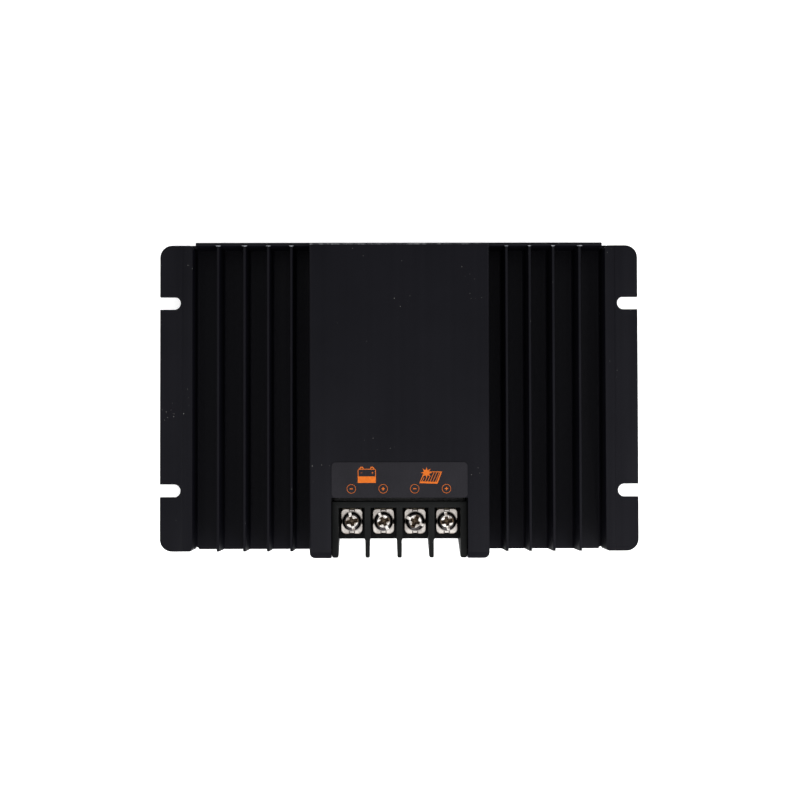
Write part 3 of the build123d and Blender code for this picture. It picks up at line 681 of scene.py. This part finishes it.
def recess_heads(name, facing):
    """Stand-in for countersunk screws with a cross recess sunk in every head."""
    work = cad_form(name)
    work.faces.ensure_lookup_table()
    head_level = max(vert.co.y * facing for vert in work.verts) - HEAD_MARGIN
    heads = [face for face in work.faces
             if all(vert.co.y * facing > head_level for vert in face.verts)]
    for head in heads:
        sink_cross(work, head, rng_heads.uniform(0, math.pi / 2))
    stand_in(name, work)


for name, width in (("heatsink_body", 0.16), ("terminal_housing", 0.14), ("top_end_plate", 0.10),
                    ("terminal_end_cap_left", 0.16), ("terminal_end_cap_right", 0.16)):
    soften(name, width)
for name, facing in (("end_cap_screws", -1), ("top_plate_screws", 1),
                     ("top_plate_side_screws", 1)):
    recess_heads(name, facing)


# ------------------------------------------------------------------ printed symbols
INK = printed_ink("orange_ink")
INK_T = 0.03                  # thickness of the ink, millimetres
label_low, label_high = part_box("label_plate")
INK_Z = label_high[2] / MM - 0.005
LABEL_X = (label_low[0] + label_high[0]) / 2 / MM
LABEL_Y = (label_low[1] + label_high[1]) / 2 / MM


def prism(work, outline, holes_with=None, lift=0.0):
    """Add a flat closed form to work: an outline, or the band between two outlines."""
    def ring(points, z):
        return [work.verts.new(((LABEL_X + x) * MM, (LABEL_Y + y) * MM, (z + lift) * MM))
                for x, y in points]

    top, low = ring(outline, INK_Z + INK_T), ring(outline, INK_Z)
    count = len(outline)
    for k in range(count):
        work.faces.new((low[k], low[(k + 1) % count], top[(k + 1) % count], top[k]))
    if holes_with is None:
        work.faces.new(top)
        work.faces.new(low[::-1])
        return
    top_in, low_in = ring(holes_with, INK_Z + INK_T), ring(holes_with, INK_Z)
    for k in range(count):
        n = (k + 1) % count
        work.faces.new((low_in[n], low_in[k], top_in[k], top_in[n]))
        work.faces.new((top[k], top[n], top_in[n], top_in[k]))
        work.faces.new((low[n], low[k], low_in[k], low_in[n]))


def circle(x, y, radius, count=40):
    turn = 2 * math.pi / count
    return [(x + radius * math.cos(turn * k), y + radius * math.sin(turn * k))
            for k in range(count)]


def arch(x, y, radius, inner, count=12):
    """Outline of the upper half of a ring."""
    angles = [math.pi * k / count for k in range(count + 1)]
    outside = [(x + radius * math.cos(a), y + radius * math.sin(a)) for a in angles]
    inside = [(x + inner * math.cos(a), y + inner * math.sin(a)) for a in reversed(angles)]
    return outside + inside


def bar(x0, y0, x1, y1, width):
    """Outline of a straight stroke between two points."""
    length = math.hypot(x1 - x0, y1 - y0)
    across = ((y0 - y1) / length * width / 2, (x1 - x0) / length * width / 2)
    return [(x0 + across[0], y0 + across[1]), (x0 - across[0], y0 - across[1]),
            (x1 - across[0], y1 - across[1]), (x1 + across[0], y1 + across[1])]


def box_outline(x0, y0, x1, y1):
    return [(x0, y0), (x1, y0), (x1, y1), (x0, y1)]


LAYER_LIFT = 0.0008           # keeps overlapping strokes from sharing one plane


def ink_piece(name, forms, first_lift=0.0):
    """One printed symbol made of several flat forms."""
    work = bmesh.new()
    for layer, form in enumerate(forms):
        prism(work, *form, lift=first_lift + layer * LAYER_LIFT)
    bmesh.ops.recalc_face_normals(work, faces=work.faces)
    piece = new_piece(name, work, [INK])
    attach(piece, "root")


# the signs in circles: radius, line of the circle, half length and stroke of the sign
SIGN_R, SIGN_LINE, SIGN_HALF = 1.83, 0.15, 0.64
STROKE = 0.35


def sign_symbol(name, x, y, plus):
    """A plus or minus sign in a circle."""
    forms = [(circle(x, y, SIGN_R), circle(x, y, SIGN_R - SIGN_LINE))]
    if plus:
        half, thin = SIGN_HALF, STROKE / 2
        forms.append(([
            (x - half, y - thin), (x - thin, y - thin), (x - thin, y - half),
            (x + thin, y - half), (x + thin, y - thin), (x + half, y - thin),
            (x + half, y + thin), (x + thin, y + thin), (x + thin, y + half),
            (x - thin, y + half), (x - thin, y + thin), (x - half, y + thin)],))
    else:
        forms.append((bar(x - SIGN_HALF, y, x + SIGN_HALF, y, STROKE),))
    ink_piece(name, forms)


def battery_symbol():
    """A battery, half full, with two round terminals."""
    x0, x1 = -16.9, -9.6
    floor, full, roof = -1.15, 1.45, 4.5
    line = 0.26
    terminal_r, terminal_hole = 0.85, 0.46
    mark_y, mark_half, mark_line = 2.9, 0.35, 0.16
    forms = [
        (box_outline(x0, floor, x1, full),),
        (box_outline(x0, full, x0 + line, roof - 0.3),),
        (box_outline(x1 - line, full, x1, roof - 0.3),),
        (box_outline(x0 + 0.3, roof - line, x1 - 0.3, roof),),
    ]
    for x in (-15.35, -11.1):
        forms.append((arch(x, roof + 0.05, terminal_r, terminal_hole),))
    plus_x = -10.95
    forms.append((bar(plus_x - mark_half, mark_y, plus_x + mark_half, mark_y, mark_line),))
    forms.append((bar(plus_x, mark_y - mark_half, plus_x, mark_y + mark_half, mark_line),))
    minus_from, minus_to, minus_line = -15.8, -15.0, 0.09
    forms.append((bar(minus_from, mark_y, minus_to, mark_y, minus_line),))
    ink_piece("battery_symbol", forms)


def panel_symbol():
    """A tilted solar panel with slanting cells."""
    low_left, low_right = (8.0, -1.3), (15.3, -1.55)
    top_right, top_left = (17.15, 3.35), (9.95, 3.45)

    def at(u, v):
        """The point a share u across and v up the panel."""
        low = [a + (b - a) * u for a, b in zip(low_left, low_right)]
        top = [a + (b - a) * u for a, b in zip(top_left, top_right)]
        return tuple(a + (b - a) * v for a, b in zip(low, top))

    sill, lintel = 0.15, 0.94
    forms = [(
        [at(0, 0), at(1, 0), at(1, 1), at(0, 1)],
        [at(0.045, sill), at(0.92, sill), at(0.935, lintel), at(0.045, lintel)],
    )]
    stripes, stripe_line, stripe_lean = 6, 0.20, 0.015
    first, spread = 0.12, 0.73
    for k in range(stripes):
        u = first + spread * k / (stripes - 1)
        # the first stripes stop short of the sun
        end = lintel if k > 2 else 0.48 + 0.05 * k
        forms.append((bar(*at(u, sill), *at(u + stripe_lean, end), stripe_line),))
    ink_piece("panel_symbol", forms)


def sun_symbol():
    """A sun with eight rays."""
    x, y = 10.9, 2.9
    core, reach, root = 1.22, 2.35, 0.33
    forms = [(circle(x, y, core, 32),)]
    for k in range(8):
        angle = math.radians(45 * k + 90)
        out = (math.cos(angle), math.sin(angle))
        side = (-out[1] * root, out[0] * root)
        base = (x + out[0] * (core - 0.1), y + out[1] * (core - 0.1))
        forms.append(([
            (base[0] - side[0], base[1] - side[1]),
            (x + out[0] * reach, y + out[1] * reach),
            (base[0] + side[0], base[1] + side[1])],))
    ink_piece("sun_symbol", forms, first_lift=0.012)


SIGN_Y = -3.55
for name, x, plus in (
    ("battery_minus_sign", -19.5, False), ("battery_plus_sign", -6.65, True),
    ("panel_minus_sign", 6.1, False), ("panel_plus_sign", 18.95, True),
):
    sign_symbol(name, x, SIGN_Y, plus)
battery_symbol()
panel_symbol()
sun_symbol()


# ------------------------------------------------------------------ sawn burrs on the fins
FIN_X = (44.1, 53.6, 63.3, 74.1)
FIN_TOP = 22.0
BURR_STEPS = 9
BURR_FOOT, BURR_LIP = 0.30, 0.12        # how far the flake reaches down its two sides
BURR_BITE = 0.01                        # the flake starts just inside the fin's end
bare = plated("bare_aluminium", (0.10, 0.105, 0.115), (0.34, 0.35, 0.38), rough=0.42)
rng = random.Random(11)


def burr(name, x):
    """A thin ragged flake that the saw pushed over the end of a fin."""
    half_w = rng.uniform(0.70, 1.15)
    y_end = heatsink_high[1] / MM
    work = bmesh.new()
    rows = []
    for k in range(BURR_STEPS):
        u = k / (BURR_STEPS - 1) * 2 - 1
        reach = (1 - abs(u) ** 1.6) * rng.uniform(0.05, 0.45) + 0.12
        lift = rng.uniform(0.02, 0.10)
        px = x + u * half_w
        rows.append([
            work.verts.new((px * MM, (y_end - BURR_BITE) * MM, (FIN_TOP - BURR_FOOT) * MM)),
            work.verts.new((px * MM, (y_end - BURR_BITE) * MM, (FIN_TOP + lift) * MM)),
            work.verts.new((px * MM, (y_end - reach) * MM, (FIN_TOP + lift * 0.6) * MM)),
            work.verts.new((px * MM, (y_end - reach) * MM, (FIN_TOP - BURR_LIP) * MM)),
        ])
    for left, right in zip(rows, rows[1:]):
        for k in range(4):
            n = (k + 1) % 4
            work.faces.new((left[k], right[k], right[n], left[n]))
    work.faces.new(rows[0])
    work.faces.new(rows[-1][::-1])
    bmesh.ops.recalc_face_normals(work, faces=work.faces)
    piece = new_piece(name, work, [bare])
    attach(piece, "root")


for side_name, side in (("left", -1), ("right", 1)):
    for k, x in enumerate(FIN_X):
        burr(f"fin_burr_{side_name}_{k + 1}", side * x)


# ------------------------------------------------------------------ dark strips for the shade in the slits
block_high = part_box("terminal_housing")[1]
NOTCH_HALF = 27.7             # half the width of the notch the block stands in
STRIP_BITE = 0.02             # the strip reaches this much past the block and the box on each side
# the strip's side view, Y and Z: its front leans back as the block's end walls do
STRIP_SIDE = ((-40.1, 1.2), (-57.6, 1.2), (-63.9, 21.0), (-63.9, 21.4), (-63.6, 21.7),
              (-57.2, 21.7), (-56.6, 25.2), (-40.1, 25.2))


def slit_shade_strip(name, side):
    """A dark strip that fills the slit between the terminal block and the box, as painted shade
    deep in the slit.
    """
    inner, outer = block_high[0] / MM - STRIP_BITE, NOTCH_HALF + STRIP_BITE
    work = bmesh.new()
    near, far = [[work.verts.new((side * x * MM, y * MM, z * MM)) for y, z in STRIP_SIDE]
                 for x in (inner, outer)]
    count = len(STRIP_SIDE)
    for k in range(count):
        n = (k + 1) % count
        work.faces.new((near[k], near[n], far[n], far[k]))
    work.faces.new(near)
    work.faces.new(far[::-1])
    bmesh.ops.recalc_face_normals(work, faces=work.faces)
    piece = new_piece(name, work, [FINISHES["tunnel_seal"]])
    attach(piece, "root")


# painted shade: dark strips fill the slits beside the terminal block
slit_shade_strip("slit_shade_left", -1)
slit_shade_strip("slit_shade_right", 1)


# ------------------------------------------------------------------ floor
FLOOR_HALF = 12.0
floor_data = bpy.data.meshes.new("floor")
floor_data.from_pydata(
    [(-FLOOR_HALF, -FLOOR_HALF, 0), (FLOOR_HALF, -FLOOR_HALF, 0),
     (FLOOR_HALF, FLOOR_HALF, 0), (-FLOOR_HALF, FLOOR_HALF, 0)], [], [(0, 1, 2, 3)])
floor = bpy.data.objects.new("floor", floor_data)
scene.collection.objects.link(floor)
floor_data.materials.append(paper("white_sweep"))
floor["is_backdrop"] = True

low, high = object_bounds()
